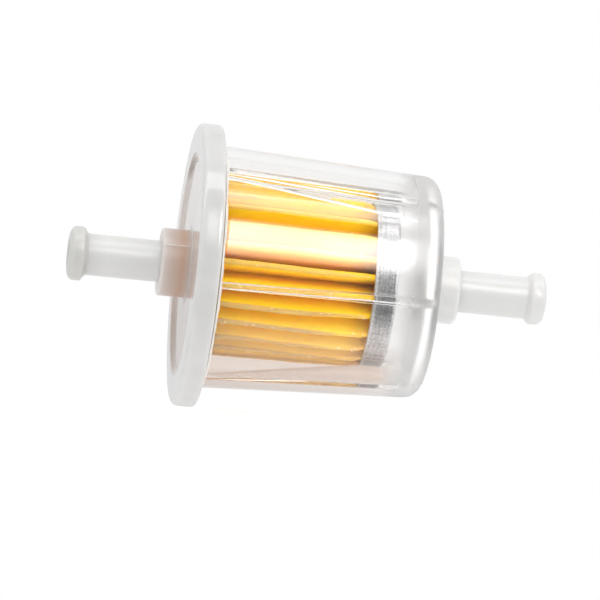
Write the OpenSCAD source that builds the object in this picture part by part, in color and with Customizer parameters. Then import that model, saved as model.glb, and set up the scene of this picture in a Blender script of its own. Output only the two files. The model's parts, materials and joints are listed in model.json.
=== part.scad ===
// Inline fuel filter for a small engine.
// A milky nylon flange cap with the outlet barb, a clear tapered bowl, a separate inlet barb,
// and a pleated paper element between them. The flow axis is X. The inlet is at +X.
// The origin is on the flow axis, in the middle of the outlet barb's widest land.

/* [Flange cap] */
// Diameter of the flange
flange_d = 44.4; // [40:0.1:50]
// Thickness of the flange at its rim
flange_t = 3.6; // [3:0.1:5]
// Distance from the origin to the flange's front face
flange_x = 16.8; // [15:0.1:25]
// Diameter of the shallow recess in the flange's front face
recess_d = 34.8; // [30:0.1:36]
// Depth of that recess
recess_depth = 0.5; // [0.2:0.1:1]
// Thickness of the recessed floor
floor_t = 1.3; // [1:0.1:1.6]

/* [Hose barbs] */
// Diameter of the outlet stem
stem_d = 6.5; // [6:0.1:7]
// Diameter over the outlet barb
barb_d = 8.5; // [7.5:0.1:9]
// Diameter of the inlet stem
inlet_stem_d = 6.6; // [6:0.1:7]
// Diameter over the inlet barb
inlet_barb_d = 8.1; // [7.5:0.1:9]
// Length of each barb along the stem
barb_len = 3.1; // [2.6:0.1:4]
// Diameter of the fuel bore through each stem
port_d = 4.2; // [3:0.1:4.6]
// Diameter of the hub at the root of each stem
hub_d = 10.6; // [9:0.1:12]
// Height of the outlet hub above the flange's front face
outlet_hub_h = 4; // [3:0.1:6]
// Height of the inlet hub above the bowl's end
inlet_hub_h = 4.6; // [3:0.1:6]
// Length of the inlet stem and its barb beyond the hub
inlet_stem_h = 14; // [12:0.1:20]

/* [Bowl] */
// Outside diameter of the bowl at the flange
bowl_mouth_d = 38; // [36:0.1:39]
// Outside diameter of the bowl at its closed end
bowl_end_d = 34.7; // [33:0.1:36]
// Length of the bowl outside the flange
bowl_len = 34.9; // [33:0.1:40]
// Thickness of the bowl's wall
bowl_wall = 1.5; // [1.2:0.1:1.8]
// Outer corner radius of the bowl's closed end
bowl_corner_r = 2.4; // [2:0.1:3]
// Number of locating ribs inside the bowl
rib_count = 6; // [3:1:8]
// Angle of the first rib above the front
rib_phase = -9; // [-30:0.5:30]
// Thickness of a rib at the mouth
rib_mouth_t = 0.8; // [0.6:0.1:1.4]
// Thickness of a rib at the closed end
rib_end_t = 1; // [0.8:0.1:2]

/* [Filter element] */
// Number of pleats
pleat_count = 27; // [20:1:30]
// Diameter over the pleats
pleat_d = 26.4; // [25:0.1:26.6]
// Diameter inside the pleats
pleat_bore_d = 14.2; // [14:0.1:16]
// Turn of the paper's seam from the back (+Y) towards the top
seam_turn = 3.8; // [-6:0.1:6]
// Thickness of the paper
paper_t = 0.45; // [0.3:0.05:0.5]
// Outside diameter of the metal end cap
cap_d = 26.9; // [26.6:0.1:27]
// Length of the metal end cap
cap_len = 3.7; // [3:0.1:4]
// Distance from the flange's front face to the metal end cap's open edge
cap_offset = 28.3; // [26:0.1:29]
// Thickness of the metal
cap_t = 0.3; // [0.2:0.05:0.5]
// Outside diameter of the perforated core
core_d = 13.8; // [12:0.1:14]
// Wall of the perforated core
core_wall = 0.7; // [0.5:0.1:1]

/* [Hidden] */
ROUND = 96;
// Radial play that keeps two curved faces of different pieces from cutting into each other
play = 0.05;

// Stations along X
flange_back_x = flange_x + flange_t;
floor_x = flange_x + recess_depth;
floor_back_x = floor_x + floor_t;
root_x = flange_back_x + 0.35;
bowl_end_x = root_x + bowl_len - 0.35;
inlet_hub_x = bowl_end_x + inlet_hub_h;
inlet_tip_x = inlet_hub_x + inlet_stem_h;
outlet_tip_x = -barb_len / 2;
cap_open_x = flange_x + cap_offset;
cap_end_x = cap_open_x + cap_len;

// Cap details
flange_r = flange_d / 2;
hub_r = hub_d / 2;
port_r = port_d / 2;
groove_depth = 1.6;
groove_x = flange_back_x - groove_depth;
spigot_h = 3;
spigot_r = core_d / 2 - core_wall - play;

// Bowl details
mouth_r = bowl_mouth_d / 2;
end_r = bowl_end_d / 2;
end_wall = 1.4;
rib_mouth_tip_r = 17.1;
rib_cap_tip_r = cap_d / 2 + 0.25;
rib_end_tip_r = 12.7;
rib_shelf_x = cap_end_x + play;

// Element details
potting_t = 1.2;
paper_x0 = floor_back_x + potting_t;
paper_x1 = cap_end_x - cap_t - potting_t;
clip_w = 2;
clip_metal_t = 0.25;
clip_top_r = pleat_d / 2 - 0.1;
clip_depth = 4.5;

// Points on an arc about [r, x], from angle a0 to a1
function arc(r, x, radius, a0, a1, steps = 6) =
    [for (i = [0 : steps]) let (a = a0 + (a1 - a0) * i / steps) [r + radius * cos(a), x + radius * sin(a)]];

// Bowl's outer radius at a station, continued into the flange's groove
function bowl_r(x) = mouth_r + (end_r - mouth_r) * (x - root_x) / (bowl_end_x - root_x);

// Solid of revolution about X from [radius, x] points
module about_x(points) {
    rotate([0, 90, 0])
        rotate_extrude($fn = ROUND)
            polygon(points);
}

// Cylinder along X
module rod(r, x0, x1) {
    translate([x0, 0, 0])
        rotate([0, 90, 0])
            cylinder(r = r, h = x1 - x0, $fn = ROUND);
}

// Outline of a stem with its rounded barb, in [radius, distance from the tip] points.
// The widest part is a short cylindrical land that the hose grips.
function barb_outline(r_stem, r_barb) = let (
    land = barb_len * 0.32,
    nose = (barb_len - land) / 2,
    bulge = r_barb - r_stem * 0.85
) concat(
    [for (i = [0 : 5]) let (a = 90 * i / 5) [r_barb - bulge * (1 - sin(a)), nose * (1 - cos(a))]],
    [for (i = [0 : 4]) let (a = 90 * i / 4)
        [r_stem + (r_barb - r_stem) * (cos(a * 2) + 1) / 2, nose + land + nose * a / 90]]
);

module outlet_cap() {
    corner = 0.9;
    back_corner = 0.5;
    step_w = 1.2;
    body = concat(
        [[0, outlet_tip_x]],
        [for (p = barb_outline(stem_d / 2, barb_d / 2)) [p[0], outlet_tip_x + p[1]]],
        [[stem_d / 2, flange_x - outlet_hub_h]],
        arc(hub_r - 0.3, flange_x - outlet_hub_h + 0.3, 0.3, -90, 0, 3),
        [[hub_r, floor_x], [recess_d / 2 - step_w, floor_x], [recess_d / 2, flange_x]],
        arc(flange_r - corner, flange_x + corner, corner, -90, 0),
        arc(flange_r - back_corner, flange_back_x - back_corner, back_corner, 0, 90, 4),
        [[mouth_r + play, root_x], [mouth_r + play, groove_x]],
        [[mouth_r - bowl_wall - play, groove_x], [mouth_r - bowl_wall - play, floor_back_x]],
        [[spigot_r, floor_back_x], [spigot_r, floor_back_x + spigot_h], [0, floor_back_x + spigot_h]]
    );
    color("gainsboro")
        difference() {
            about_x(body);
            rod(port_r, outlet_tip_x - 1, floor_back_x + spigot_h + 1);
        }
}

// One locating rib: wedge-shaped seen from its tip, and deeper towards the closed end
module rib() {
    x0 = root_x + 0.6;
    x1 = bowl_end_x - end_wall / 2;
    buried = bowl_wall / 2;
    intersection() {
        rotate([90, 0, 0])
            linear_extrude(height = 6, center = true)
                polygon([
                    [x0, bowl_r(x0) - buried],
                    [x0, rib_mouth_tip_r],
                    [cap_open_x, rib_cap_tip_r],
                    [rib_shelf_x, rib_cap_tip_r],
                    [rib_shelf_x, rib_cap_tip_r - 0.55],
                    [x1, rib_end_tip_r],
                    [x1, bowl_r(x1) - buried]
                ]);
        linear_extrude(height = mouth_r)
            polygon([
                [x0, -rib_mouth_t / 2],
                [x1, -rib_end_t / 2],
                [x1, rib_end_t / 2],
                [x0, rib_mouth_t / 2]
            ]);
    }
}

module bowl() {
    inner_corner = bowl_corner_r - bowl_wall / 2;
    inner_x = bowl_end_x - end_wall;
    shell = concat(
        [[mouth_r, groove_x], [mouth_r, root_x], [bowl_r(bowl_end_x - bowl_corner_r), bowl_end_x - bowl_corner_r]],
        arc(end_r - bowl_corner_r, bowl_end_x - bowl_corner_r, bowl_corner_r, 0, 90),
        [[stem_d / 2 + play, bowl_end_x], [stem_d / 2 + play, inner_x]],
        arc(end_r - bowl_wall - inner_corner, inner_x - inner_corner, inner_corner, 90, 0),
        [[mouth_r - bowl_wall, root_x], [mouth_r - bowl_wall, groove_x]]
    );
    color("whitesmoke", 0.35)
        union() {
            about_x(shell);
            for (i = [0 : rib_count - 1])
                rotate([90 - rib_phase - i * 360 / rib_count, 0, 0])
                    rib();
        }
}

module inlet_fitting() {
    outline = [for (p = barb_outline(inlet_stem_d / 2, inlet_barb_d / 2)) [p[0], inlet_tip_x - p[1]]];
    body = concat(
        [[0, inlet_tip_x]],
        outline,
        [[inlet_stem_d / 2, inlet_hub_x]],
        arc(hub_r - 0.6, inlet_hub_x - 0.6, 0.6, 90, 0, 4),
        [[hub_r, bowl_end_x], [stem_d / 2, bowl_end_x]],
        [[stem_d / 2, bowl_end_x - end_wall], [0, bowl_end_x - end_wall]]
    );
    color("gainsboro")
        difference() {
            about_x(body);
            rod(port_r, bowl_end_x - end_wall - 1, inlet_tip_x + 1);
        }
}

// Plastic squeezed out of the welded joint, in the corner between the flange and the bowl
module weld_bead() {
    bead = 0.5;
    color("gainsboro")
        about_x([
            [mouth_r + play, root_x],
            [mouth_r + play + bead, root_x],
            [mouth_r + play + bead * 0.6, root_x + bead * 0.7],
            [mouth_r + play, root_x + bead]
        ]);
}

// Half-width of a pleat at its tip and at its root, before the paper's thickness is taken off
module pleat_outline(r_tip, r_root, tip_half, root_half) {
    pitch = 360 / pleat_count;
    tip_a = atan(tip_half / r_tip);
    root_a = atan(root_half / r_root);
    polygon([
        for (i = [0 : pleat_count - 1])
            for (p = [[-pitch / 2 + root_a, r_root], [-tip_a, r_tip], [tip_a, r_tip], [pitch / 2 - root_a, r_root]])
                let (a = i * pitch + p[0]) [p[1] * cos(a), p[1] * sin(a)]
    ]);
}

module along_x(x0, x1) {
    translate([x0, 0, 0])
        rotate([90, 0, 90])
            linear_extrude(height = x1 - x0)
                children();
}

// Channel section of the seam clip, which straddles the first pleat, nearly at the back (+Y)
module clip_section() {
    difference() {
        translate([clip_top_r - clip_depth, -clip_w / 2])
            square([clip_depth, clip_w]);
        translate([clip_top_r - clip_depth - 1, -clip_w / 2 + clip_metal_t])
            square([clip_depth + 1 - clip_metal_t, clip_w - 2 * clip_metal_t]);
    }
}

module seam_clip() {
    color("silver")
        rotate([seam_turn, 0, 0])
            along_x(paper_x0, cap_open_x - 0.2)
                clip_section();
}

module pleated_paper() {
    tip_half = 0.74;
    root_half = 0.16;
    bore_r = pleat_bore_d / 2;
    color("gold")
        rotate([seam_turn, 0, 0])
            along_x(paper_x0, paper_x1)
                difference() {
                    pleat_outline(pleat_d / 2, bore_r + paper_t, tip_half, root_half);
                    pleat_outline(pleat_d / 2 - paper_t, bore_r, tip_half - paper_t, root_half + paper_t * 0.9);
                    translate([clip_top_r - clip_metal_t, -clip_w])
                        square([2, 2 * clip_w]);
                    clip_section();
                }
}

module core_tube() {
    r = core_d / 2;
    hole_d = 2;
    rows = 6;
    holes_round = 6;
    x1 = paper_x1;
    row_pitch = (x1 - floor_back_x - spigot_h) / rows;
    color("white")
        difference() {
            rod(r, floor_back_x, x1);
            rod(r - core_wall, floor_back_x - 1, x1 + 1);
            for (row = [0 : rows - 1])
                for (i = [0 : holes_round - 1])
                    rotate([(i + (row % 2) / 2) * 360 / holes_round, 0, 0])
                        translate([floor_back_x + spigot_h + (row + 0.5) * row_pitch, 0, 0])
                            cylinder(d = hole_d, h = r + 1, $fn = 24);
        }
}

module end_cap() {
    r = cap_d / 2;
    edge_r = 0.6;
    lip = 0.25;
    color("silver")
        about_x(concat(
            [[0, cap_end_x]],
            [[0, cap_end_x - cap_t]],
            [[r - cap_t - 0.2, cap_end_x - cap_t], [r - cap_t, cap_end_x - cap_t - 0.2]],
            [[r - cap_t, cap_open_x], [r, cap_open_x + lip]],
            arc(r - edge_r, cap_end_x - edge_r, edge_r, 0, 90, 5)
        ));
}

module end_potting() {
    r = cap_d / 2 - cap_t;
    x1 = cap_end_x - cap_t;
    color("ivory")
        about_x([[0, x1 - potting_t], [r - play, x1 - potting_t], [r - play, x1 - 0.3], [r - 0.3, x1], [0, x1]]);
}

module outlet_potting() {
    inner = core_d / 2 + play;
    color("ivory")
        about_x([
            [inner, floor_back_x], [pleat_d / 2, floor_back_x],
            [pleat_d / 2, paper_x0], [inner, paper_x0]
        ]);
}

outlet_cap();
bowl();
inlet_fitting();
weld_bead();
pleated_paper();
seam_clip();
core_tube();
end_cap();
end_potting();
outlet_potting();
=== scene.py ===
"""Looks of a clear inline fuel filter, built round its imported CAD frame.

Lengths are metres. The flow axis is X, the outlet barb is at -X, and the front is -Y.
An angle on the round parts is counted from the front, upwards.
"""
import json
import math
import random

import bmesh
import bpy
import numpy as np
from mathutils import Matrix, Vector, noise


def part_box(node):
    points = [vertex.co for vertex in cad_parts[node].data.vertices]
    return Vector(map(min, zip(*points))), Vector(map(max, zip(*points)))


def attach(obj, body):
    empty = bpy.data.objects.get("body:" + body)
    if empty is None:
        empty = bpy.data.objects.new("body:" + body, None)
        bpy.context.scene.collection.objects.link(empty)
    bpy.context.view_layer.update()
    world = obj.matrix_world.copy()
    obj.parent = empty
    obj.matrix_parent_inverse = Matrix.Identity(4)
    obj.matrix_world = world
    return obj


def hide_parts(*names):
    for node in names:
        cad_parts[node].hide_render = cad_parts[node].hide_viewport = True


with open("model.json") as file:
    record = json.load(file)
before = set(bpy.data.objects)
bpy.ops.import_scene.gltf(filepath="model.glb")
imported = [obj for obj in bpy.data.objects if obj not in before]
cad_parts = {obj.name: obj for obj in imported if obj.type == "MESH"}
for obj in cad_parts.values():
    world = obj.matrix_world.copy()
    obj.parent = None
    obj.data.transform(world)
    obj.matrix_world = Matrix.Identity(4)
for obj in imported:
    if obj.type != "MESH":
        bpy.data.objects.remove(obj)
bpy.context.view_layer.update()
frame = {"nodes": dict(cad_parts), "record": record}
MM = 0.001


# ---------------------------------------------------------------- places that the frame gives

def span(node):
    """First station, last station and outer radius of a node that is round about X."""
    low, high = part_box(node)
    return low[0], high[0], (high[1] - low[1]) / 2


OUTLET_TIP, SPIGOT_END, FLANGE_R = span("outlet_cap")
GROOVE_X, BOWL_END, MOUTH_R = span("bowl")
WALL_INSIDE, INLET_TIP, HUB_R = span("inlet_fitting")
BEAD_X = span("weld_bead")[0]
PAPER_X0, PAPER_X1, PLEAT_R = span("pleated_paper")
CAP_OPEN, CAP_END, CAP_R = span("end_cap")
POT_X0, POT_X1, POT_R = span("end_potting")
RING_X0, RING_X1, RING_R = span("outlet_potting")
CORE_R = span("core_tube")[2]
MOUNTS = {m["name"]: m for m in frame["record"]["mounts"]}
PORT_R = MOUNTS["outlet_port"]["dims"]["r_mm"] * MM
OUTLET_BARB_R = MOUNTS["outlet_barb"]["dims"]["r_mm"] * MM
INLET_BARB_R = MOUNTS["inlet_barb"]["dims"]["r_mm"] * MM

# ---------------------------------------------------------------- sizes that the frame does not give

FLANGE_X = 16.8 * MM
FLANGE_T = 3.6 * MM
FLANGE_BACK = FLANGE_X + FLANGE_T
RECESS_R = 17.4 * MM
RECESS_DEPTH = 0.5 * MM
RECESS_STEP = 1.2 * MM
FLOOR_X = FLANGE_X + RECESS_DEPTH
FLOOR_T = 1.3 * MM
OUTLET_STEM_R = 3.25 * MM
INLET_STEM_R = 3.3 * MM
BARB_LEN = 3.1 * MM
OUTLET_HUB_X = FLANGE_X - 4.0 * MM
INLET_HUB_X = BOWL_END + 4.6 * MM
SPIGOT_R = 6.15 * MM
PLAY = 0.05 * MM
BOWL_END_R = 17.35 * MM
BOWL_WALL = 1.5 * MM
BOWL_CORNER = 2.4 * MM
RIB_COUNT = 6
RIB_PHASE = math.radians(-9.0)
RIB_MOUTH_HALF = 0.4 * MM
RIB_END_HALF = 0.5 * MM
RIB_MOUTH_TIP = 17.1 * MM
RIB_CAP_TIP = CAP_R + 0.25 * MM
RIB_SHELF_X = CAP_END + 0.15 * MM
RIB_SHELF_TIP = CAP_R - 0.3 * MM
RIB_END_TIP = 12.7 * MM
PLEATS = 27
SEAM_ANGLE = math.radians(176.2)
PAPER_T = 0.4 * MM
PAPER_BORE_R = 7.1 * MM
CAP_METAL = 0.3 * MM

# Radius of the pinhole left on the axis of a turned disc, so that its rings have no zero-length side
AXIS_GAP = 0.4 * MM


# ---------------------------------------------------------------- mesh helpers

def arc(cx, cr, radius, start, end, steps=8):
    """Points (x, r) on an arc round (cx, cr), from angle start to end in degrees, 0 along +r."""
    turns = [math.radians(start + (end - start) * i / steps) for i in range(steps + 1)]
    return [(cx + radius * math.sin(a), cr + radius * math.cos(a)) for a in turns]


def line(a, b, steps):
    """Points from a to b, without b."""
    reach = (b[0] - a[0], b[1] - a[1])
    return [(a[0] + reach[0] * i / steps, a[1] + reach[1] * i / steps) for i in range(steps)]


def new_object(name, verts, faces, sharp=35):
    """Closed mesh object with outward normals, smooth except across edges sharper than an angle."""
    mesh = bpy.data.meshes.new(name)
    mesh.from_pydata([tuple(v) for v in verts], [], faces)
    shape = bmesh.new()
    shape.from_mesh(mesh)
    bmesh.ops.recalc_face_normals(shape, faces=shape.faces)
    for face in shape.faces:
        face.smooth = True
    shape.to_mesh(mesh)
    shape.free()
    mesh.set_sharp_from_angle(angle=math.radians(sharp))
    obj = bpy.data.objects.new(name, mesh)
    bpy.context.scene.collection.objects.link(obj)
    return obj


def loft(name, rings, sharp=35):
    """Closed skin through rings of equal length; the last ring joins the first."""
    count = len(rings[0])
    faces = []
    for k in range(len(rings)):
        a, b = k * count, (k + 1) % len(rings) * count
        faces += [(a + i, a + (i + 1) % count, b + (i + 1) % count, b + i) for i in range(count)]
    return new_object(name, np.concatenate(rings), faces, sharp)


def ring(x, radii, angles):
    """Points round the axis at one station."""
    return np.stack([np.full(len(angles), x), -radii * np.cos(angles), radii * np.sin(angles)], axis=1)


def revolve(name, outline, segments=192, wobble=0.0, grain=0.006, sharp=35):
    """Solid of revolution from (x, r) points once round its section, a little uneven by wobble.

    A point that repeats the one before it is left out, so that no face has zero width.
    """
    same = 0.0001 * MM
    angles = np.linspace(0, 2 * math.pi, segments, endpoint=False)
    corners = [point for i, point in enumerate(outline) if math.dist(point, outline[i - 1]) > same]
    rings = []
    for x, r in corners:
        points = ring(x, np.full(segments, r), angles)
        if wobble:
            scale = [1 + wobble / max(r, MM) * noise.noise(Vector(p) / grain) for p in points]
            points[:, 1:] *= np.array(scale)[:, None]
        rings.append(points)
    return loft(name, rings, sharp)


# ---------------------------------------------------------------- material helpers

class Nodes:
    """Short names for building a node tree."""

    def __init__(self, name, owner=None):
        self.material = owner or bpy.data.materials.new(name)
        self.material.use_nodes = True
        self.tree = self.material.node_tree
        self.shader = self.tree.nodes.get("Principled BSDF")
        self.output = self.tree.nodes.get("Material Output")

    def add(self, kind, **settings):
        node = self.tree.nodes.new("ShaderNode" + kind)
        for key, value in settings.items():
            setattr(node, key, value)
        return node

    def link(self, source, target):
        self.tree.links.new(source, target)
        return target

    def set(self, **values):
        for key, value in values.items():
            self.shader.inputs[key.replace("_", " ")].default_value = value

    def place(self):
        """Object coordinates, which are the frame's own metres."""
        return self.add("TexCoord").outputs["Object"]

    def stretched(self, scale):
        """Object coordinates, scaled apart along X, Y and Z."""
        mapping = self.add("Mapping")
        mapping.inputs["Scale"].default_value = scale
        self.link(self.place(), mapping.inputs["Vector"])
        return mapping.outputs["Vector"]

    def noise(self, scale, detail=4.0, vector=None, roughness=0.5):
        texture = self.add("TexNoise")
        texture.inputs["Scale"].default_value = scale
        texture.inputs["Detail"].default_value = detail
        texture.inputs["Roughness"].default_value = roughness
        self.link(vector or self.place(), texture.inputs["Vector"])
        return texture.outputs["Fac"]

    def ramp(self, source, stops):
        """Colour ramp on source: stops of (position, colour)."""
        node = self.add("ValToRGB")
        elements = node.color_ramp.elements
        while len(elements) < len(stops):
            elements.new(0.5)
        for element, (position, colour) in zip(elements, stops):
            element.position = position
            element.color = (*colour, 1)
        self.link(source, node.inputs["Fac"])
        return node.outputs["Color"]

    def remap(self, source, low, high, to_low=0.0, to_high=1.0, smooth=False):
        node = self.add("MapRange", interpolation_type="SMOOTHSTEP" if smooth else "LINEAR")
        node.inputs["From Min"].default_value = low
        node.inputs["From Max"].default_value = high
        node.inputs["To Min"].default_value = to_low
        node.inputs["To Max"].default_value = to_high
        self.link(source, node.inputs["Value"])
        return node.outputs["Result"]

    def math(self, operation, a, b=None):
        node = self.add("Math", operation=operation)
        for socket, value in zip(node.inputs, (a, b)):
            if value is None:
                continue
            if isinstance(value, (int, float)):
                socket.default_value = value
            else:
                self.link(value, socket)
        return node.outputs[0]

    def mix(self, factor, a, b, blend="MIX"):
        node = self.add("Mix", data_type="RGBA", blend_type=blend)
        for socket, value in ((node.inputs["Factor"], factor), (node.inputs[6], a), (node.inputs[7], b)):
            if isinstance(value, tuple):
                socket.default_value = (*value, 1)
            elif isinstance(value, (int, float)):
                socket.default_value = value
            else:
                self.link(value, socket)
        return node.outputs[2]

    def choose(self, condition, a, b):
        """Value a where the condition is 0, and b where it is 1."""
        node = self.add("Mix")
        self.link(condition, node.inputs["Factor"])
        for socket, value in ((node.inputs["A"], a), (node.inputs["B"], b)):
            if isinstance(value, float):
                socket.default_value = value
            else:
                self.link(value, socket)
        return node.outputs["Result"]

    def axis(self, which):
        node = self.add("SeparateXYZ")
        self.link(self.place(), node.inputs[0])
        return node.outputs[which]

    def radius(self):
        """Distance from the flow axis."""
        node = self.add("SeparateXYZ")
        self.link(self.place(), node.inputs[0])
        squares = [self.math("MULTIPLY", node.outputs[i], node.outputs[i]) for i in (1, 2)]
        return self.math("SQRT", self.math("ADD", *squares))

    def colour(self, pattern, dark, light):
        """Base colour that goes from dark to light with a noise pattern."""
        self.link(self.ramp(pattern, [(0.3, dark), (0.7, light)]), self.shader.inputs["Base Color"])

    def bump(self, height, strength, distance):
        """Surface relief from a pattern, where a height of 1 stands distance metres proud."""
        node = self.add("Bump")
        node.inputs["Strength"].default_value = strength
        node.inputs["Distance"].default_value = distance
        self.link(height, node.inputs["Height"])
        self.link(node.outputs["Normal"], self.shader.inputs["Normal"])


# ---------------------------------------------------------------- materials

def milky_nylon(name, warm_from, warm_to, recessed=False):
    """Natural nylon: milky and slightly see-through, with painted light in its colour.

    A glow is painted on the hub, warmer where the paper's light would shine through it; the hub turns
    warmer between the stations warm_from and warm_to. Near the bore, where the walls are thin, the
    colour is painted lighter for the light that comes through them.
    """
    n = Nodes(name)
    n.set(IOR=1.5, Subsurface_Weight=0.6, Subsurface_Scale=0.0025)
    n.shader.inputs["Subsurface Radius"].default_value = (1.0, 0.9, 0.8)
    cloud = n.noise(260, 3)
    # Painted light: the thin walls near the bore get the lighter colour, for the light that comes
    # through them.
    thick = n.ramp(cloud, [(0.3, (0.60, 0.60, 0.59)), (0.7, (0.64, 0.64, 0.635))])
    thin = n.ramp(cloud, [(0.3, (0.72, 0.72, 0.71)), (0.7, (0.76, 0.76, 0.755))])
    near_bore = n.remap(n.radius(), HUB_R + 0.1 * MM, HUB_R + 2 * MM, 1, 0, smooth=True)
    colour = n.mix(near_bore, thick, thin)
    n.link(n.remap(near_bore, 0, 1, 0.05, 0.28), n.shader.inputs["Roughness"])
    # Painted glow: the hub's colour turns orange where the paper's light would shine through the nylon.
    painted_glow_along = n.remap(n.axis(0), warm_from, warm_to)
    inner = n.remap(n.radius(), HUB_R, HUB_R + 0.4 * MM, 1, 0)
    glow = n.ramp(painted_glow_along, [
        (0.0, (0.70, 0.70, 0.69)), (0.05, (0.66, 0.62, 0.60)), (0.4, (0.60, 0.50, 0.44)),
        (0.75, (0.60, 0.41, 0.31)), (0.9, (0.62, 0.49, 0.42)), (1.0, (0.64, 0.55, 0.50)),
    ])
    colour = n.mix(inner, colour, glow)
    if recessed:
        colour = recess_painted_light(n, colour)
    n.link(colour, n.shader.inputs["Base Color"])
    skin = n.math("ADD", n.noise(900, 2), n.math("MULTIPLY", n.noise(140, 2), 2.0))
    n.bump(skin, 0.05, 0.00008)
    return n.material


def recess_painted_light(n, colour):
    """Painted light on the outlet cap: its thin recessed floor is painted with the colour that shows
    through it, with painted lines of shade at the step's two edges, a painted shaded crescent at the
    top of the step and painted shade towards the bottom; the barb tip is painted greyer as shade.
    """
    # Painted shade: colour of the dark crescent painted at the top of the step.
    painted_step_shade = (0.30, 0.23, 0.19)
    step_start = RECESS_R - RECESS_STEP * 1.15
    face = n.remap(n.axis(0), FLOOR_X + 0.3 * MM, FLOOR_X + 0.05 * MM)
    in_recess = n.math("MULTIPLY", n.remap(n.radius(), RECESS_R + 0.2 * MM, RECESS_R + 0.1 * MM), face)
    # Painted light: the floor shows the colour seen through it, with dark lines of painted shade at both
    # edges of the step.
    floor = n.ramp(n.remap(n.radius(), step_start, RECESS_R + 0.15 * MM), [
        (0.0, (0.65, 0.61, 0.595)), (0.1, (0.36, 0.28, 0.23)), (0.24, (0.64, 0.59, 0.56)),
        (0.82, (0.62, 0.57, 0.54)), (0.94, (0.32, 0.25, 0.21)), (1.0, (0.45, 0.39, 0.35)),
    ])
    # Painted shade: darker and warmer towards the bottom.
    low = n.remap(n.axis(2), 4 * MM, -9 * MM)
    floor = n.mix(low, floor, (0.72, 0.65, 0.61), "MULTIPLY")
    # Painted shade: a dark crescent on the step at its top.
    shaded_crescent = n.remap(n.axis(2), 13.0 * MM, 15.0 * MM)
    on_step = n.remap(n.radius(), step_start, RECESS_R - RECESS_STEP)
    floor = n.mix(n.math("MULTIPLY", n.math("MULTIPLY", shaded_crescent, on_step), 0.9), floor, painted_step_shade)
    outside_hub = n.remap(n.radius(), HUB_R, HUB_R + 0.2 * MM)
    colour = n.mix(n.math("MULTIPLY", in_recess, outside_hub), colour, floor)
    # Painted shade: the barb tip, which faces the dim side, is painted greyer.
    tip_shade = n.remap(n.axis(0), OUTLET_TIP + 6 * MM, OUTLET_TIP + 1 * MM)
    return n.mix(tip_shade, colour, (0.80, 0.80, 0.79), "MULTIPLY")


def weld_plastic(name):
    """Plastic squeezed out of a weld or a mould's parting: a little rough, and whiter than the
    mouldings, partly its own colour and partly painted light that lifts the shade at the weld and
    paints the mould line's highlight.
    """
    n = Nodes(name)
    n.set(Roughness=0.4)
    cloud = n.noise(700, 3)
    n.colour(cloud, (0.82, 0.77, 0.70), (0.92, 0.90, 0.87))
    n.bump(cloud, 0.3, 0.00005)
    return n.material


def clear_plastic(name):
    """Clear moulded plastic with painted shade that makes it browner underneath, and hazy at its
    closed end.

    Shadow rays go straight through it, so that lamps light what it holds.
    """
    n = Nodes(name)
    n.set(IOR=1.55, Transmission_Weight=1.0)
    closed_end = n.remap(n.axis(0), CAP_END - 1.5 * MM, CAP_END + 3 * MM, smooth=True)
    n.link(n.remap(closed_end, 0, 1, 0.025, 0.3), n.shader.inputs["Roughness"])
    # Painted shade: the clear colour is painted browner towards the bottom.
    shaded_tint = n.ramp(n.remap(n.axis(2), -8 * MM, -19 * MM), [
        (0.0, (0.97, 0.965, 0.96)), (0.5, (0.87, 0.80, 0.755)),
        (0.8, (0.87, 0.80, 0.755)), (0.95, (0.70, 0.58, 0.51)),
    ])
    n.link(n.mix(closed_end, shaded_tint, (0.99, 0.985, 0.98)), n.shader.inputs["Base Color"])
    n.bump(n.noise(130, 2, n.stretched((0.5, 1, 1))), 0.1, 0.0001)
    clear = n.add("BsdfTransparent")
    clear.inputs["Color"].default_value = (0.98, 0.98, 0.98, 1)
    path = n.add("LightPath")
    either = n.add("MixShader")
    n.link(path.outputs["Is Shadow Ray"], either.inputs[0])
    n.link(n.shader.outputs[0], either.inputs[1])
    n.link(clear.outputs[0], either.inputs[2])
    n.link(either.outputs[0], n.output.inputs["Surface"])
    return n.material


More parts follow.
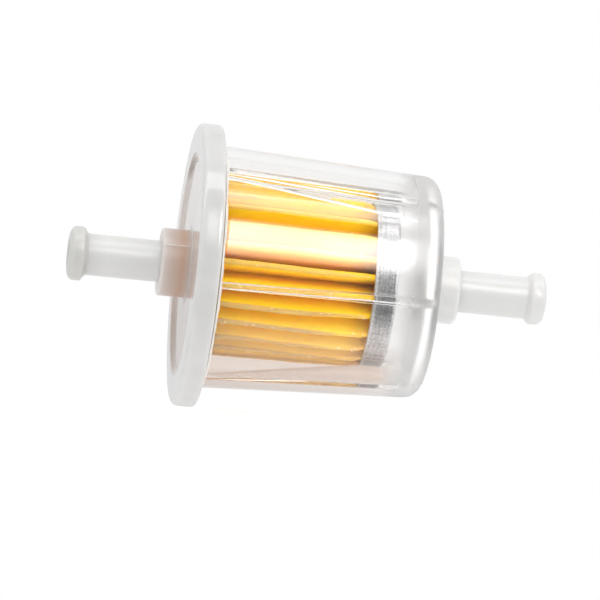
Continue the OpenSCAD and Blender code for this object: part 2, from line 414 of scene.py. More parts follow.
def filter_paper(name):
    """Resin-cured yellow paper: fibrous and matt. Its folds are pale, partly from the paper's own fold
    colour and partly as a painted sheen; low down a painted veil of reflection dulls it and painted
    shade darkens the folds, and by the cap a painted shadow darkens it.
    """
    n = Nodes(name)
    n.set(Roughness=0.9, Specular_IOR_Level=0.1, Subsurface_Weight=0.7, Subsurface_Scale=0.0012)
    n.shader.inputs["Subsurface Radius"].default_value = (1.0, 0.6, 0.15)
    fibres = n.noise(1500, 5, n.stretched((0.35, 1, 1)), 0.65)
    blotches = n.noise(220, 3, n.stretched((0.3, 1, 1)))
    sheet = n.ramp(fibres, [(0.3, (0.92, 0.56, 0.008)), (0.7, (0.96, 0.63, 0.012))])
    sheet = n.mix(n.remap(blotches, 0.35, 0.75, 0, 0.5), sheet, (0.97, 0.62, 0.016))
    # Painted reflection: a pale veil painted over the paper towards the bottom, duller and greyer.
    painted_low_veil = n.remap(n.axis(2), -7 * MM, -12 * MM, 0.0, 0.65)
    sheet = n.mix(painted_low_veil, sheet, (0.78, 0.56, 0.22))
    # Painted shadow: darker close to the metal cap.
    cap_shadow = n.remap(n.axis(0), CAP_OPEN - 4 * MM, CAP_OPEN, smooth=True)
    sheet = n.mix(cap_shadow, sheet, (0.76, 0.70, 1.0), "MULTIPLY")
    uneven = n.math("MULTIPLY", n.math("SUBTRACT", blotches, 0.5), 0.9 * MM)
    ridge = n.math("ADD", n.radius(), uneven)
    # Partly painted highlight: the folds are paler, partly the paper's own fold colour and partly a
    # painted sheen.
    fold = n.remap(ridge, PLEAT_R + 0.1 * MM, PLEAT_R + 0.42 * MM, smooth=True)
    # Painted shade: the pale folds are painted darker towards the bottom.
    low = n.remap(n.axis(2), -1 * MM, -7 * MM)
    pale = n.mix(low, (0.66, 0.43, 0.08), (0.42, 0.29, 0.13))
    pale = n.mix(n.remap(fibres, 0.3, 0.7, 0, 0.6), pale, (0.62, 0.43, 0.13))
    n.link(n.mix(fold, sheet, pale), n.shader.inputs["Base Color"])
    n.bump(n.math("ADD", fibres, n.noise(420, 3)), 0.5, 0.00012)
    return n.material


def pale_fibre(name):
    """Bleached ends of single fibres."""
    n = Nodes(name)
    n.set(Roughness=0.7)
    n.colour(n.noise(900, 2), (0.86, 0.74, 0.46), (0.96, 0.90, 0.72))
    return n.material


def brushed_aluminium(name):
    """Drawn aluminium: faint draw lines along the skirt and a bright speckle."""
    n = Nodes(name)
    n.set(Metallic=1.0)
    lines = n.noise(1400, 3, n.stretched((0.12, 1, 1)), 0.6)
    rings = n.noise(500, 2, n.stretched((5, 0.3, 0.3)))
    speckle = n.noise(4200, 2)
    drawn = n.math("ADD", n.math("MULTIPLY", lines, 0.7), n.math("MULTIPLY", rings, 0.6))
    grain = n.math("ADD", drawn, speckle)
    tone = n.ramp(n.remap(grain, 0.9, 1.4), [(0.0, (0.38, 0.38, 0.39)), (1.0, (0.80, 0.81, 0.82))])
    n.link(tone, n.shader.inputs["Base Color"])
    n.link(n.remap(grain, 0.8, 1.4, 0.26, 0.38), n.shader.inputs["Roughness"])
    n.bump(grain, 0.16, 0.00003)
    return n.material


def sealant(name):
    """Cast sealant, cream and slightly mottled."""
    n = Nodes(name)
    n.set(Roughness=0.45)
    mottle = n.noise(500, 3)
    n.colour(mottle, (0.66, 0.55, 0.40), (0.78, 0.70, 0.55))
    n.bump(mottle, 0.3, 0.0001)
    return n.material


def core_plastic(name):
    """Natural plastic of the perforated core."""
    n = Nodes(name)
    n.set(Roughness=0.4)
    cloud = n.noise(300, 2)
    n.colour(cloud, (0.66, 0.65, 0.62), (0.76, 0.75, 0.72))
    n.bump(n.noise(1200, 2), 0.15, 0.00005)
    return n.material


def clip_steel(name):
    """Tinned strip with rolling lines along it."""
    n = Nodes(name)
    n.set(Metallic=1.0)
    lines = n.noise(1500, 3, n.stretched((0.05, 1, 1)))
    n.colour(lines, (0.45, 0.45, 0.46), (0.64, 0.64, 0.65))
    n.link(n.remap(lines, 0.3, 0.7, 0.25, 0.4), n.shader.inputs["Roughness"])
    n.bump(lines, 0.2, 0.00003)
    return n.material


# ---------------------------------------------------------------- nylon pieces

def barb_outline(tip_x, way, stem_r, barb_r):
    """Barb from the rim of its bore to the stem; way is +1 where the stem runs towards +X."""
    nose = 1.05 * MM
    land = 1.0 * MM
    lip = 0.35 * MM
    bulge = barb_r - (PORT_R + lip)
    points = [(lip, PORT_R)] + arc(lip, PORT_R + lip, lip, 180, 270, 4)
    points += [(nose * (1 - math.cos(a)), PORT_R + lip + bulge * math.sin(a))
               for a in (math.pi / 2 * i / 8 for i in range(1, 9))]
    points += line((nose, barb_r), (nose + land, barb_r), 3)
    fall = BARB_LEN - nose - land
    step = barb_r - stem_r
    points += [(nose + land + fall * i / 10, stem_r + step * (1 + math.cos(math.pi * i / 10)) / 2)
               for i in range(11)]
    return [(tip_x + way * x, r) for x, r in points]


def outlet_cap(material):
    """Flange, recessed face, hub, stem and barb, with a groove behind for the bowl."""
    corner = 0.85 * MM
    back = 0.5 * MM
    crown = 0.02 * MM
    fillet = 0.25 * MM
    hub_edge = 0.3 * MM
    rim_steps = 8
    stem_start = OUTLET_TIP + BARB_LEN + 0.2 * MM
    outline = barb_outline(OUTLET_TIP, 1, OUTLET_STEM_R, OUTLET_BARB_R)
    outline += line((stem_start, OUTLET_STEM_R), (OUTLET_HUB_X - fillet, OUTLET_STEM_R), 8)
    outline += arc(OUTLET_HUB_X - fillet, OUTLET_STEM_R + fillet, fillet, 180, 90, 4)
    outline += arc(OUTLET_HUB_X + hub_edge, HUB_R - hub_edge, hub_edge, -90, 0, 6)
    outline += line((OUTLET_HUB_X + 0.8 * MM, HUB_R), (FLOOR_X - fillet, HUB_R), 6)
    outline += arc(FLOOR_X - fillet, HUB_R + fillet, fillet, 180, 90, 4)
    outline += line((FLOOR_X, HUB_R + 2 * fillet), (FLOOR_X, RECESS_R - RECESS_STEP - 0.4 * MM), 8)
    step = [(i / 8, (1 - math.cos(math.pi * i / 8)) / 2) for i in range(9)]
    outline += [(FLOOR_X - RECESS_DEPTH * h, RECESS_R - RECESS_STEP * (1 - t)) for t, h in step]
    outline += line((FLANGE_X, RECESS_R + 0.3 * MM), (FLANGE_X, FLANGE_R - corner), 5)
    outline += arc(FLANGE_X + corner, FLANGE_R - corner - crown, corner, -90, 0, 8)
    rim = (FLANGE_X + corner, FLANGE_BACK - back)
    outline += [(rim[0] + (rim[1] - rim[0]) * i / rim_steps,
                 FLANGE_R - crown * (2 * i / rim_steps - 1) ** 2) for i in range(1, rim_steps)]
    outline += arc(FLANGE_BACK - back, FLANGE_R - back - crown, back, 0, 80, 6)
    outline += line((FLANGE_BACK + 0.02 * MM, FLANGE_R - 2 * back), (BEAD_X, MOUTH_R + PLAY), 6)
    outline += [(BEAD_X, MOUTH_R + PLAY), (GROOVE_X, MOUTH_R + PLAY)]
    groove_r = MOUTH_R - BOWL_WALL - PLAY
    floor_back = FLOOR_X + FLOOR_T
    outline += [(GROOVE_X, groove_r), (floor_back, groove_r)]
    outline += [(floor_back, SPIGOT_R), (SPIGOT_END, SPIGOT_R), (SPIGOT_END, PORT_R)]
    piece = revolve("outlet_cap_body", outline, 256, wobble=0.02 * MM, grain=0.007)
    return finish_piece(piece, material, "milky_nylon", "outlet_cap")


def mould_line(material):
    """Fine raised line that the mould's parting leaves along the outlet hub."""
    angle = math.radians(31)
    size = 0.07 * MM
    across = size / HUB_R * 1.6
    stations = line((OUTLET_HUB_X + 0.2 * MM, 0), (FLOOR_X, 0), 12)
    rings = []
    for x, _ in stations:
        turns = np.array([angle - across, angle, angle + across, angle])
        radii = np.array([HUB_R - size / 4, HUB_R + size, HUB_R - size / 4, HUB_R - 2 * size])
        rings.append(ring(x, radii, turns))
    verts = np.concatenate(rings)
    last = len(rings) - 1
    faces = [(4 * k + q, 4 * k + (q + 1) % 4, 4 * k + 4 + (q + 1) % 4, 4 * k + 4 + q)
             for k in range(last) for q in range(4)]
    faces += [(0, 1, 2, 3), tuple(4 * last + q for q in range(4))]
    return finish_piece(new_object("hub_mould_line", verts, faces, 60), material, "milky_nylon")


def inlet_fitting(material):
    """Hub, stem and barb at the closed end of the bowl."""
    edge = 0.6 * MM
    fillet = 0.25 * MM
    stem_start = INLET_TIP - BARB_LEN - 0.2 * MM
    outline = barb_outline(INLET_TIP, -1, INLET_STEM_R, INLET_BARB_R)
    outline += line((stem_start, INLET_STEM_R), (INLET_HUB_X + fillet, INLET_STEM_R), 8)
    outline += arc(INLET_HUB_X + fillet, INLET_STEM_R + fillet, fillet, 180, 270, 4)
    outline += arc(INLET_HUB_X - edge, HUB_R - edge, edge, 90, 0, 8)
    outline += line((INLET_HUB_X - edge - 0.3 * MM, HUB_R), (BOWL_END, HUB_R), 6)
    outline += [(BOWL_END, HUB_R), (BOWL_END, OUTLET_STEM_R)]
    outline += [(WALL_INSIDE, OUTLET_STEM_R), (WALL_INSIDE, PORT_R)]
    piece = revolve("inlet_fitting_body", outline, 192, wobble=0.015 * MM, grain=0.005)
    return finish_piece(piece, material, "milky_nylon", "inlet_fitting")


def weld_bead(material):
    """Uneven bead of plastic squeezed out of the weld between flange and bowl."""
    segments = 360
    angles = np.linspace(0, 2 * math.pi, segments, endpoint=False)
    size = np.array([
        0.36 + 0.20 * noise.noise(Vector((math.cos(a) * 3, math.sin(a) * 3, 0)))
        + 0.12 * noise.noise(Vector((math.cos(a) * 14, math.sin(a) * 14, 5)))
        for a in angles
    ]) * MM
    foot = MOUTH_R + PLAY
    rings = [ring(BEAD_X - 0.1 * MM, np.full(segments, foot - 0.05 * MM), angles)]
    for i in range(7):
        turn = math.pi / 2 * i / 6
        points = ring(BEAD_X, foot + size * 1.3 * math.cos(turn), angles)
        points[:, 0] += size * math.sin(turn)
        rings.append(points)
    return finish_piece(loft("weld_bead_line", rings), material, "milky_nylon", "weld_bead")


# ---------------------------------------------------------------- bowl

def bowl_outer(x):
    """Outer radius of the tapered wall."""
    return MOUTH_R + (BOWL_END_R - MOUTH_R) * max(x - BEAD_X, 0) / (BOWL_END - BEAD_X)


def rib_tip(x):
    """Radius of the ribs' inner edge: it closes in on the metal cap, which rests on a small shelf."""
    stations = [BEAD_X + 0.6 * MM, CAP_OPEN, CAP_END + PLAY, RIB_SHELF_X, WALL_INSIDE]
    radii = [RIB_MOUTH_TIP, RIB_CAP_TIP, RIB_CAP_TIP, RIB_SHELF_TIP, RIB_END_TIP]
    return float(np.interp(x, stations, radii))


def rib_half(x):
    """Half of a rib's thickness."""
    return float(np.interp(x, [BEAD_X, WALL_INSIDE], [RIB_MOUTH_HALF, RIB_END_HALF]))


def rib_side(x, wall_r, height):
    """One side of a rib's section, from the wall to the middle of its tip, as (angle, radius)."""
    fillet = min(0.15 * MM, height / 3 + 1e-6)
    edge = min(0.28 * MM, height / 3 + 1e-6)
    tip_r = wall_r - height
    half = rib_half(x)
    root_half = half * (wall_r - fillet) / (tip_r + edge) + 0.03 * MM
    side = []
    for i in range(6):
        a = math.pi / 2 * i / 5
        side.append((root_half + fillet * (1 - math.sin(a)), wall_r - fillet + fillet * math.cos(a)))
    side.append(((root_half + half) / 2, wall_r - height / 2))
    for i in range(6):
        a = math.pi / 2 * i / 5
        side.append((half - edge + edge * math.cos(a), tip_r + edge - edge * math.sin(a)))
    return [(t / r, r) for t, r in side]


def bowl_section(x, wall_r, height):
    """Angles and radii of the bowl's inner section, ribs included."""
    wall_steps = 36
    sector = 2 * math.pi / RIB_COUNT
    side = rib_side(x, wall_r, height)
    reach = side[0][0]
    angles, radii = [], []
    for k in range(RIB_COUNT):
        middle = RIB_PHASE + k * sector
        for a, r in side:
            angles.append(middle - a)
            radii.append(r)
        for a, r in reversed(side):
            angles.append(middle + a)
            radii.append(r)
        gap = sector - 2 * reach
        for i in range(1, wall_steps):
            angles.append(middle + reach + gap * i / wall_steps)
            radii.append(wall_r)
    return np.array(angles), np.array(radii)


def bowl(material):
    """Tapered housing: one skin over its outside, the hole in its end, its inside and its ribs."""
    inner_corner = BOWL_CORNER - BOWL_WALL / 2
    mouth_inner_r = MOUTH_R - BOWL_WALL
    hole_r = OUTLET_STEM_R + PLAY
    rib_start = BEAD_X + 0.1 * MM
    ramp = 0.2 * MM
    wall_stations = 34

    def rib_height(x, wall_r):
        full = max(wall_r - rib_tip(x), 0.2 * MM)
        return full * min(max((x - rib_start) / ramp, 0.0005), 1)

    def outside(x, r):
        angles = bowl_section(x, mouth_inner_r, rib_height(x, mouth_inner_r))[0]
        return wavy(ring(x, np.full(len(angles), r), angles), 3.0)

    def inside(x, wall_r):
        angles, radii = bowl_section(x, wall_r, rib_height(x, wall_r))
        return wavy(ring(x, radii, angles), 9.0)

    def disc(x, r):
        height = rib_height(WALL_INSIDE, mouth_inner_r)
        angles = bowl_section(WALL_INSIDE, mouth_inner_r, height)[0]
        return ring(x, np.full(len(angles), r), angles)

    last = BOWL_END - BOWL_CORNER
    rings = [outside(GROOVE_X, MOUTH_R), outside(BEAD_X, MOUTH_R)]
    for i in range(1, wall_stations + 1):
        x = BEAD_X + (last - BEAD_X) * i / wall_stations
        rings.append(outside(x, bowl_outer(x)))
    for x, r in arc(last, bowl_outer(last) - BOWL_CORNER, BOWL_CORNER, 0, 90, 14)[1:]:
        rings.append(outside(x, r))
    rings += [disc(BOWL_END, r) for r in (14.0 * MM, 12.0 * MM, 8.0 * MM, HUB_R, hole_r)]
    rings += [disc(WALL_INSIDE, r) for r in (hole_r, 6.0 * MM, 9.0 * MM, RIB_END_TIP - 0.6 * MM)]
    inner_last = WALL_INSIDE - inner_corner
    corner_r = bowl_outer(WALL_INSIDE) - BOWL_WALL - inner_corner
    for x, r in reversed(arc(inner_last, corner_r, inner_corner, 0, 78, 10)):
        rings.append(inside(x, r))
    for x in inner_stations(inner_last, rib_start, ramp):
        rings.append(inside(x, bowl_outer(x) - BOWL_WALL))
    rings += [inside(BEAD_X, mouth_inner_r), inside(GROOVE_X, mouth_inner_r)]
    piece = loft("bowl_shell", rings, sharp=40)
    return finish_piece(piece, material, "clear_plastic", "bowl")


def inner_stations(inner_last, rib_start, ramp):
    """Stations from the closed end to the mouth, with extra ones where the ribs change."""
    plain = [rib_start + ramp + (inner_last - rib_start - ramp) * i / 36 for i in range(36)]
    shelf = [CAP_OPEN, CAP_END + PLAY, RIB_SHELF_X]
    start = [rib_start + ramp * i / 4 for i in range(4)]
    stations = sorted(set(plain + shelf + start), reverse=True)
    close = 0.04 * MM
    kept = [stations[0]]
    for x in stations[1:]:
        if kept[-1] - x > close:
            kept.append(x)
    return kept


def wavy(points, seed):
    """A moulding's slight waves, too small to see but enough to bend what shows through."""
    reach = 0.016 * MM
    grain = 0.009
    for p in points:
        r = math.hypot(p[1], p[2])
        lift = reach * noise.noise(Vector((p[0] / grain, p[1] / grain, p[2] / grain + seed)))
        p[1:] *= 1 + lift / r
    return points


# ---------------------------------------------------------------- filter element

def pleat_path(pleat, tip_r, lean):
    """Middle line of one pleat's section, as (angle, radius), from its left valley to its right one."""
    pitch = 2 * math.pi / PLEATS
    fold = 0.27 * MM
    valley_r = PAPER_BORE_R + PAPER_T / 2
    middle = pleat * pitch
    left = middle - pitch / 2
    right = middle + pitch / 2
    path = []
    for i in range(4):
        a = math.pi / 2 * i / 4
        path.append((left + fold * math.sin(a) / valley_r, valley_r + fold * (1 - math.cos(a))))
    foot = (left + fold / (valley_r + fold), valley_r + fold)
    top = (middle + lean - fold / (tip_r - fold), tip_r - fold)
    path += line(foot, top, 10)
    for i in range(9):
        a = math.pi * i / 8
        path.append((middle + lean - fold * math.cos(a) / tip_r, tip_r - fold + fold * math.sin(a)))
    foot_right = (right - fold / (valley_r + fold), valley_r + fold)
    top_right = (middle + lean + fold / (tip_r - fold), tip_r - fold)
    path += line(top_right, foot_right, 10)[1:]
    for i in range(4):
        a = math.pi / 2 * (1 - i / 4)
        path.append((right - fold * math.sin(a) / valley_r, valley_r + fold * (1 - math.cos(a))))
    return path


def swell(x):
    """Outer radius of the pleats, which stand out a little where no cap holds them in."""
    stations = [PAPER_X0, CAP_OPEN - 9 * MM, CAP_OPEN - 1.2 * MM, CAP_OPEN, PAPER_X1]
    return float(np.interp(x, stations, [13.85 * MM, 13.7 * MM, 13.45 * MM, 13.1 * MM, 13.05 * MM]))


def paper_section(x):
    """Middle line of the whole folded sheet at one station. Each pleat leans and stands its own way."""
    path = []
    for k in range(PLEATS):
        drift = noise.noise(Vector((k * 1.7, x * 60, 0)))
        ripple = noise.noise(Vector((k * 2.3, x * 260, 4)))
        tip_r = swell(x) - PAPER_T / 2 - (0.10 * drift + 0.05 * ripple) * MM
        own_lean = 0.30 * noise.noise(Vector((k * 7.1, 0.5, 9)))
        lean = (own_lean + 0.22 * drift + 0.06 * ripple) * MM / PLEAT_R * 1.6
        path += pleat_path(k, tip_r, lean)
    return path


def pleated_paper(material):
    """Rounded pleats of a sheet with real thickness, a little uneven along their length."""
    stations = 56
    rings = {"out": [], "in": []}
    cosine, sine = math.cos(SEAM_ANGLE), math.sin(SEAM_ANGLE)
    turn = np.array([[cosine, -sine], [sine, cosine]])
    for i in range(stations + 1):
        x = PAPER_X0 + (PAPER_X1 - PAPER_X0) * i / stations
        path = np.array(paper_section(x))
        flat = np.stack([path[:, 1] * np.sin(path[:, 0]), path[:, 1] * np.cos(path[:, 0])], axis=1)
        along = np.roll(flat, -1, axis=0) - np.roll(flat, 1, axis=0)
        across = np.stack([-along[:, 1], along[:, 0]], axis=1)
        across /= np.linalg.norm(across, axis=1)[:, None]
        for side, shift in (("out", PAPER_T / 2), ("in", -PAPER_T / 2)):
            points = flat + across * shift
            turned = points @ turn
            rings[side].append(np.stack([np.full(len(points), x), -turned[:, 1], turned[:, 0]], axis=1))
    skin = loft("pleats", rings["out"] + rings["in"][::-1], sharp=60)
    return finish_piece(skin, material, "filter_paper", "pleated_paper")


def paper_fibres(material):
    """Loose fibres that stand on the folds of the paper; one in three is close to the metal cap."""
    fibres = 190
    rng = random.Random(26)
    verts, faces = [], []
    for i in range(fibres):
        pleat = rng.randrange(PLEATS)
        first = PAPER_X0 + 1.5 * MM if i % 3 else CAP_OPEN - 2.5 * MM
        x = rng.uniform(first, CAP_OPEN - 0.5 * MM)
        angle = SEAM_ANGLE + pleat * 2 * math.pi / PLEATS + rng.uniform(-0.02, 0.02)
        add_fibre(rng, verts, faces, x, angle)
    piece = new_object("paper_fibres", verts, faces, 60)
    return finish_piece(piece, material, "filter_paper")


def add_fibre(rng, verts, faces, x, angle):
    """One curved fibre, a thin tube with four sides that tapers to its ends."""
    length = rng.uniform(0.25, 0.9) * MM
    thick = rng.uniform(0.03, 0.085) * MM
    start_r = swell(x) - 0.08 * MM
    lift = rng.uniform(0.0, 0.25) * MM
    bend = rng.uniform(-0.5, 0.5) * MM
    way = rng.uniform(-1, 1)
    steps = 7
    first = len(verts)
    for i in range(steps):
        t = i / (steps - 1)
        px = x + length * (t - 0.5) * math.cos(way)
        side = length * (t - 0.5) * math.sin(way) + bend * t * (1 - t)
        r = start_r + lift * math.sin(math.pi * t)
        size = thick * (0.35 + 0.65 * math.sin(math.pi * t))
        a = angle + side / PLEAT_R
        for q in range(4):
            turn = math.pi / 2 * q
            rr = r + size * math.sin(turn)
            verts.append((px + size * math.cos(turn), -rr * math.cos(a), rr * math.sin(a)))
    for i in range(steps - 1):
        for q in range(4):
            low, high = first + i * 4, first + (i + 1) * 4
            faces.append((low + q, low + (q + 1) % 4, high + (q + 1) % 4, high + q))
    faces.append(tuple(first + q for q in range(4)))
    faces.append(tuple(first + (steps - 1) * 4 + q for q in range(4)))


def end_cap(material):
    """Drawn aluminium cup with a rolled edge, over the far end of the pleats."""
    edge = 0.6 * MM
    inner_edge = edge - CAP_METAL
    lip = 0.2 * MM
    dish = 0.12 * MM
    inner = CAP_R - CAP_METAL
    inner_face = CAP_END - CAP_METAL
    outline = [(inner_face, AXIS_GAP), (inner_face, inner - inner_edge)]
    outline += arc(inner_face - inner_edge, inner - inner_edge, inner_edge, 90, 0, 5)
    outline += line((CAP_END - 0.9 * MM, inner), (CAP_OPEN + lip, inner), 5)
    outline += arc(CAP_OPEN + lip, CAP_R - lip, lip, 180, 360, 10)
    outline += [(CAP_OPEN + 0.44 * MM, CAP_R - 0.15 * MM), (CAP_OPEN + 0.6 * MM, CAP_R - 0.05 * MM)]
    outline += line((CAP_OPEN + 0.7 * MM, CAP_R - 0.04 * MM), (CAP_END - edge, CAP_R - 0.02 * MM), 6)
    outline += arc(CAP_END - edge, CAP_R - edge, edge, 0, 90, 8)
    outline += line((CAP_END, CAP_R - edge - 0.5 * MM), (CAP_END - 0.1 * MM, CAP_R - 3.0 * MM), 4)
    outline += line((CAP_END - dish, CAP_R - 3.4 * MM), (CAP_END - dish, AXIS_GAP), 5)
    outline += [(CAP_END - dish, AXIS_GAP)]
    piece = revolve("end_cap_cup", outline, 256, wobble=0.035 * MM, grain=0.006, sharp=50)
    return finish_piece(piece, material, "aluminium", "end_cap")


def sealant_rings(material):
    """Sealant that holds both ends of the pleats, lapping up a little round them."""
    lap = 0.25 * MM
    ends = []
    for name, node, x0, x1, inner, outer, way in (
        ("outlet_sealant", "outlet_potting", RING_X0, RING_X1, CORE_R + PLAY, RING_R, 1),
        ("end_sealant", "end_potting", POT_X0, POT_X1, AXIS_GAP, POT_R, -1),
    ):
        face = x1 if way > 0 else x0
        back = x0 if way > 0 else x1
        outline = [(back, inner), (back, outer - 0.2 * MM)]
        outline += [(back + way * 0.2 * MM, outer), (face - way * lap, outer)]
        outline += [(face, outer - lap), (face + way * lap * 0.4, (inner + outer) / 2), (face, inner)]
        piece = revolve(name, outline, 160, wobble=0.08 * MM, grain=0.003)
        ends.append(finish_piece(piece, material, "sealant", node))
    return ends


# ---------------------------------------------------------------- putting pieces on the frame

def finish_piece(piece, material, slot, *nodes):
    """Gives a piece its material and its place on the frame."""
    piece.data.materials.clear()
    piece.data.materials.append(material)
    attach(piece, "root")
    if nodes:
        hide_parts(*nodes)
    return piece


def dress_node(node, material):
    """New material on a CAD node that keeps its mesh."""
    for slot in frame["nodes"][node].material_slots:
        slot.material = material


# ---------------------------------------------------------------- stage, light and camera

MIDDLE_X = (OUTLET_TIP + INLET_TIP) / 2


def floor_plane():
    """Round pale floor under the flange's rim, which fades to the studio's white away from the part.

    Mirrors and the bowl don't show it, because it would light up the metal cap from below.
    """
    mesh = bpy.data.meshes.new("floor")
    shape = bmesh.new()
    bmesh.ops.create_circle(shape, cap_ends=True, segments=96, radius=3.0)
    shape.to_mesh(mesh)
    shape.free()
    floor = bpy.data.objects.new("floor", mesh)
    floor.location = (MIDDLE_X, 0, -FLANGE_R)
    bpy.context.scene.collection.objects.link(floor)
    n = Nodes("floor_white")
    n.set(Base_Color=(0.5, 0.5, 0.5, 1), Roughness=0.6, Specular_IOR_Level=0.2)
    n.set(Emission_Color=(1, 1, 1, 1), Emission_Strength=0.7)
    glow = n.add("Emission")
    glow.inputs["Strength"].default_value = 1.0
    spot = n.add("VectorMath", operation="LENGTH")
    n.link(n.place(), spot.inputs[0])
    fade_from, fade_to = 10 * MM, 60 * MM
    away = n.remap(spot.outputs["Value"], fade_from, fade_to, smooth=True)
    both = n.add("MixShader")
    n.link(away, both.inputs[0])
    n.link(n.shader.outputs[0], both.inputs[1])
    n.link(glow.outputs[0], both.inputs[2])
    n.link(both.outputs[0], n.output.inputs["Surface"])
    mesh.materials.append(n.material)
    floor.visible_glossy = False
    floor.visible_transmission = False


def studio_world():
    """White where it is seen directly or through the bowl, dimmer as fill light, a studio in mirrors.

    The studio is pale behind and dark in front. Over the front it has a strip overhead, and below
    that a large window, whose light is strongest towards +X. A ray that has been through the bowl
    also meets a soft lining, and nothing brighter than through_limit.
    """
    strip_level = 4.0
    window_level = 25.0
    through_limit = 3.0
    fill_level = 0.76
    fill_through_bowl = 2.95
    world = bpy.data.worlds.new("studio")
    n = Nodes("studio", world)
    back = n.tree.nodes["Background"]
    way = n.add("SeparateXYZ")
    n.link(n.add("TexCoord").outputs["Generated"], way.inputs[0])
    turn = n.math("ARCTAN2", way.outputs[2], n.math("MULTIPLY", way.outputs[1], -1.0))
    round_x = n.remap(turn, -math.pi, math.pi)
    aside = n.math("ABSOLUTE", way.outputs[0])

    def profile(stops):
        """Level by angle round X, in degrees above the front."""
        return n.ramp(round_x, [((angle + 180) / 360, (level,) * 3) for angle, level in stops])

    room = profile([
        (-180, 0.2), (-108, 0.24), (-80, 0.33), (-64, 0.27), (-46, 0.1), (-35, 0.045),
        (-12, 0.008), (52, 0.008), (63, 0.008), (66.5, 1.0), (79, 1.0), (84, 0.22), (180, 0.22),
    ])
    beside = n.remap(aside, 0.6, 0.9)
    room = n.math("MAXIMUM", room, n.math("MULTIPLY", beside, 0.2))
    pane = profile([
        (12, 0.0), (17.5, 0.2), (23.5, 0.66), (29, 0.8), (35, 0.82), (41.5, 0.7), (46, 0.28), (50, 0.0),
    ])
    across = n.ramp(n.remap(way.outputs[0], -0.1, 0.3), [(p, (level,) * 3) for p, level in (
        (0.2, 0.03), (0.35, 0.18), (0.5, 0.22), (0.625, 0.1), (0.68, 0.12),
        (0.712, 0.72), (0.745, 0.63), (0.765, 0.65), (0.79, 0.75), (0.85, 0.9), (0.93, 0.9), (1.0, 0.08),
    )])
    lit_pane = n.math("MULTIPLY", n.math("MULTIPLY", pane, across), window_level / strip_level)
    mirrored = n.math("MULTIPLY", n.math("ADD", room, lit_pane), strip_level)
    path = n.add("LightPath")
    through = n.math("GREATER_THAN", path.outputs["Transmission Depth"], 0.5)
    lining = profile([
        (-40, 0.0), (-12, 0.08), (8, 0.12), (18, 0.3), (28, 0.3), (34, 0.02), (150, 0.02), (170, 0.0),
    ])
    sideways = n.remap(aside, 0.05, 0.7, smooth=True)
    lining = n.math("ADD", lining, n.math("MULTIPLY", sideways, 0.12))
    lined = n.math("ADD", mirrored, n.math("MULTIPLY", lining, strip_level))
    mirrored = n.choose(through, mirrored, n.math("MINIMUM", lined, through_limit))
    level = n.choose(n.math("GREATER_THAN", path.outputs["Glossy Depth"], 0.5), 1.0, mirrored)
    fill = n.choose(through, fill_level, fill_through_bowl)
    level = n.choose(n.math("GREATER_THAN", path.outputs["Diffuse Depth"], 0.5), level, fill)
    back.inputs["Color"].default_value = (1, 1, 1, 1)
    n.link(level, back.inputs["Strength"])
    world.cycles.sampling_method = "NONE"
    bpy.context.scene.world = world


def softbox(name, elevation, azimuth, distance, width, height, radiance):
    """Rectangular lamp aimed at the part, for matt light only; the world holds what is mirrored.

    Elevation is above the front, azimuth towards +X.
    """
    lamp = bpy.data.lights.new(name, "AREA")
    lamp.shape = "RECTANGLE"
    lamp.size = width
    lamp.size_y = height
    lamp.energy = radiance * width * height * math.pi
    obj = bpy.data.objects.new(name, lamp)
    up, side = math.radians(elevation), math.radians(azimuth)
    out = Vector((math.cos(up) * math.sin(side), -math.cos(up) * math.cos(side), math.sin(up)))
    obj.location = Vector((MIDDLE_X, 0, 0)) + out * distance
    obj.rotation_euler = out.to_track_quat("Z", "Y").to_euler()
    obj.visible_camera = False
    obj.visible_glossy = False
    obj.visible_transmission = False
    bpy.context.scene.collection.objects.link(obj)
    return obj


def studio_light(element):
    """Three soft lamps for the whole part, and one for the filter element alone."""
    softbox("key_fill", 42, 10, distance=0.62, width=0.60, height=0.34, radiance=1.9)
    softbox("top_fill", 82, 0, distance=0.60, width=0.60, height=0.40, radiance=1.0)
    softbox("side_fill", 45, -75, distance=0.60, width=0.40, height=0.40, radiance=0.45)
    element_key = softbox("element_key", 32, 12, distance=0.60, width=0.30, height=0.22, radiance=2.7)
    inside = bpy.data.collections.new("inside_the_bowl")
    for piece in element:
        inside.objects.link(piece)
    element_key.light_linking.receiver_collection = inside


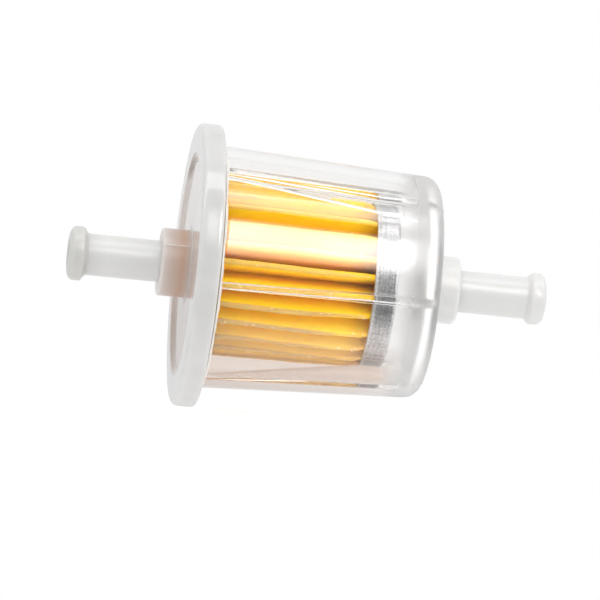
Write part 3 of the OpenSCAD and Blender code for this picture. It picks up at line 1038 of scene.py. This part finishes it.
def camera():
    """Long lens, level, turned a little towards the flange's face and rolled so that the axis slopes."""
    distance = 0.72
    yaw = math.radians(6.6)
    roll = math.radians(5.69)
    lens = 275.5
    aim_x = FLANGE_X + 18.87 * MM
    off_axis = (0.61 * MM, 3.79 * MM)
    back = Vector((-math.sin(yaw), -math.cos(yaw), 0))
    level = Vector((math.cos(yaw), -math.sin(yaw), 0))
    right = level * math.cos(roll) + Vector((0, 0, 1)) * math.sin(roll)
    up = Vector((0, 0, 1)) * math.cos(roll) - level * math.sin(roll)
    data = bpy.data.cameras.new("camera")
    data.lens = lens
    data.clip_start = 0.01
    data.clip_end = 20
    obj = bpy.data.objects.new("camera", data)
    place = Vector((aim_x, 0, 0)) - right * off_axis[0] - up * off_axis[1] + back * distance
    turn = Matrix((right, up, back)).transposed()
    obj.matrix_world = Matrix.Translation(place) @ turn.to_4x4()
    bpy.context.scene.collection.objects.link(obj)
    bpy.context.scene.camera = obj


def look():
    """Plain display transform, and enough bounces for light in and out of the clear bowl."""
    scene = bpy.context.scene
    scene.view_settings.view_transform = "Standard"
    scene.cycles.max_bounces = 40
    scene.cycles.transmission_bounces = 32
    scene.cycles.glossy_bounces = 32
    scene.cycles.diffuse_bounces = 8
    scene.cycles.transparent_max_bounces = 32


# ---------------------------------------------------------------- build

nylon_cap = milky_nylon("nylon_cap", OUTLET_HUB_X - 0.3 * MM, FLOOR_X, recessed=True)
nylon_inlet = milky_nylon("nylon_inlet", WALL_INSIDE, WALL_INSIDE - 3 * MM)
paper = filter_paper("yellow_paper")
metal = brushed_aluminium("brushed_aluminium")
outlet_cap(nylon_cap)
inlet_fitting(nylon_inlet)
# Painted light: the whiter plastic lifts the shade at the weld and paints a highlight on the mould line.
lightened_flash = weld_plastic("white_flash")
mould_line(lightened_flash)
weld_bead(lightened_flash)
bowl(clear_plastic("clear_moulding"))
element = [pleated_paper(paper), paper_fibres(pale_fibre("bleached_fibre")), end_cap(metal)]
sealant_rings(sealant("cream_sealant"))
dress_node("core_tube", core_plastic("core_moulding"))
dress_node("seam_clip", clip_steel("tinned_steel"))
floor_plane()
studio_world()
studio_light(element)
camera()
look()
